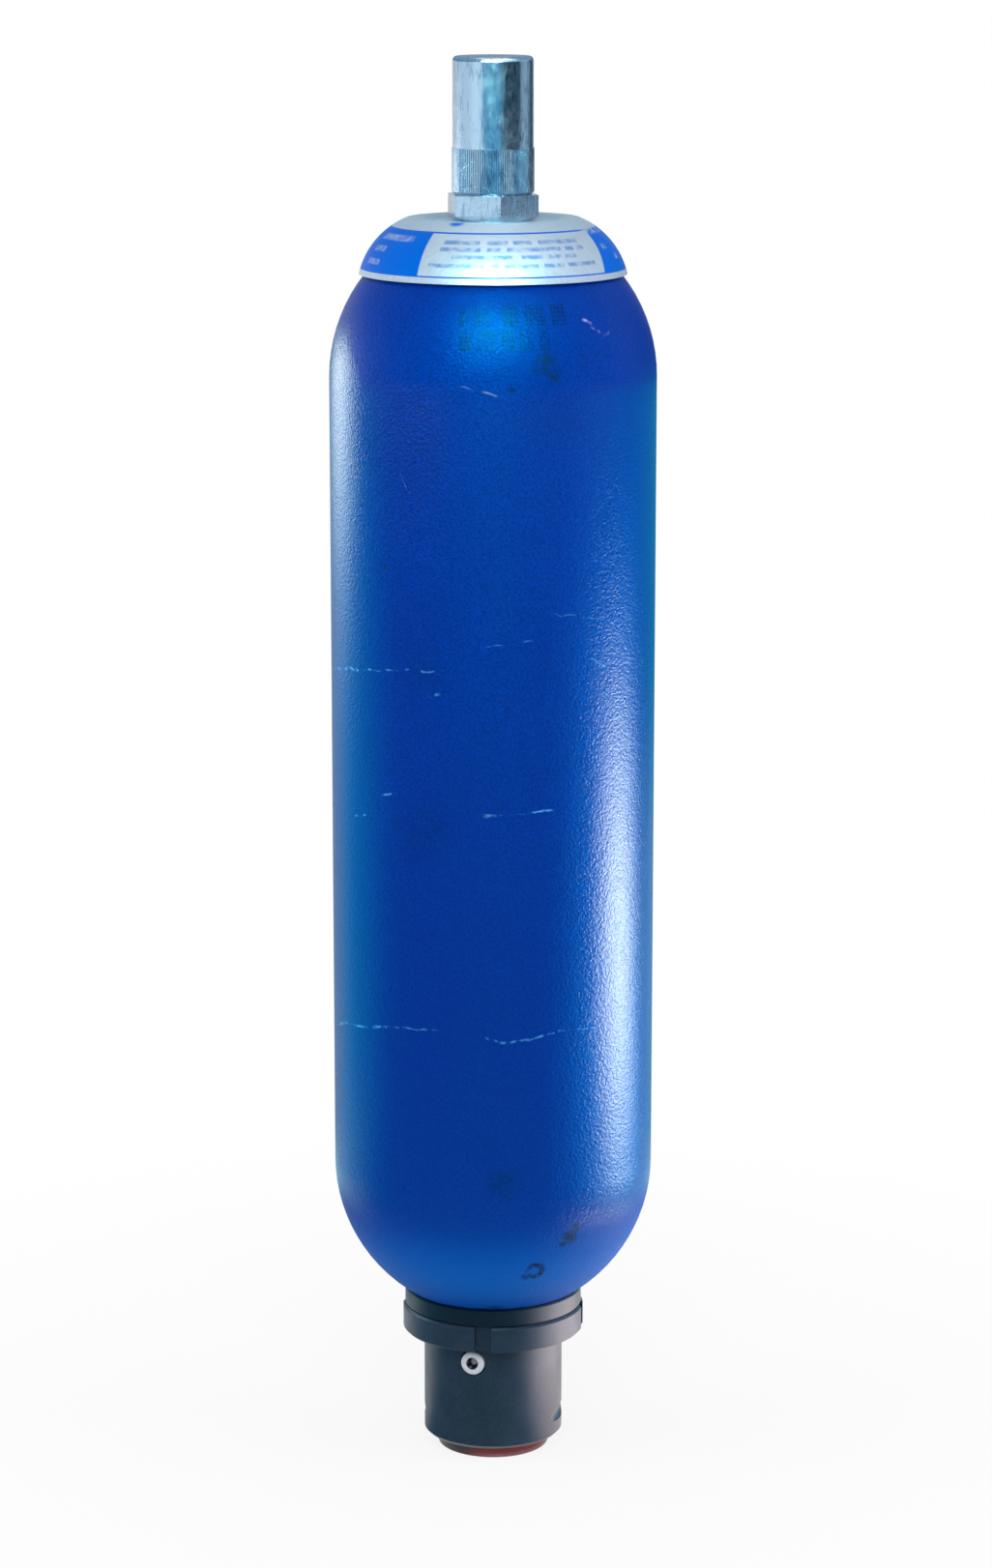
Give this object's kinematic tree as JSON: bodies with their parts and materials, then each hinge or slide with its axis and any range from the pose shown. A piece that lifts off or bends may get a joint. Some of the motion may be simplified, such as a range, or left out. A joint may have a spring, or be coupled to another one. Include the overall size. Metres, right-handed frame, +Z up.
{
  "type": "hydraulic accumulator",
  "caption": "Upright bladder accumulator: blue steel bottle with round ends, capped gas valve over a dished name plate, and a black threaded fluid port with a slotted nut and a red plug.",
  "frame": {"origin": "middle of the shipping plug's foot, on the surface the accumulator stands on", "axes": "+Z up along the bottle's axis to the gas valve, -Y towards the front of the picture, +X to the right"},
  "size_m": [0.114, 0.114, 0.5],
  "materials": {
    "shell_paint": "semi-gloss blue paint with fine orange peel",
    "plate_print": "satin aluminium with a printed blue band",
    "zinc_steel": "turned, bright zinc plating with a blue tint",
    "black_steel": "turned, black oxide, satin",
    "bright_steel": "turned, bare",
    "spring_steel": "drawn wire",
    "valve_brass": "turned brass",
    "nitrile": "moulded black rubber",
    "backup_plastic": "machined pale plastic",
    "seal_fibre": "black bonded seal",
    "plug_plastic": "glossy moulded red plastic"
  },
  "bodies": {
    "accumulator": {"shell": "shell_paint", "name_plate": "plate_print", "stem_lock_nut": "zinc_steel", "protection_cap": "zinc_steel", "bladder_stem": "bright_steel", "bladder": "nitrile", "gas_valve_body": "bright_steel", "gas_valve_o_ring": "nitrile", "gas_valve_core": "valve_brass", "gas_valve_spring": "spring_steel", "gas_valve_cap": "valve_brass", "anti_extrusion_ring": "nitrile", "support_washer": "bright_steel", "port_o_ring": "nitrile", "backup_ring": "backup_plastic", "spacer_ring": "black_steel", "slotted_lock_nut": "black_steel", "port_body": "black_steel", "poppet_spring": "spring_steel", "bleed_screw": "zinc_steel", "bleed_seal_ring": "seal_fibre", "port_plug": "plug_plastic"},
    "poppet_valve": {"poppet": "bright_steel", "damping_bush": "valve_brass", "poppet_stop_nut": "bright_steel"},
    "valve_pin": {"gas_valve_pin": "valve_brass"}
  },
  "joints": [
    {"name": "poppet_slide", "type": "slide", "parent": "accumulator", "child": "poppet_valve", "axis": [0, 0, -1], "range_m": [0, 0.01], "stiffness_N_per_m": 1500, "springref_m": -0.01, "deforming": ["poppet_spring"]},
    {"name": "gas_valve_slide", "type": "slide", "parent": "accumulator", "child": "valve_pin", "axis": [0, 0, -1], "range_m": [0, 0.0012], "stiffness_N_per_m": 1200, "springref_m": -0.004, "deforming": ["gas_valve_spring"]}
  ]
}
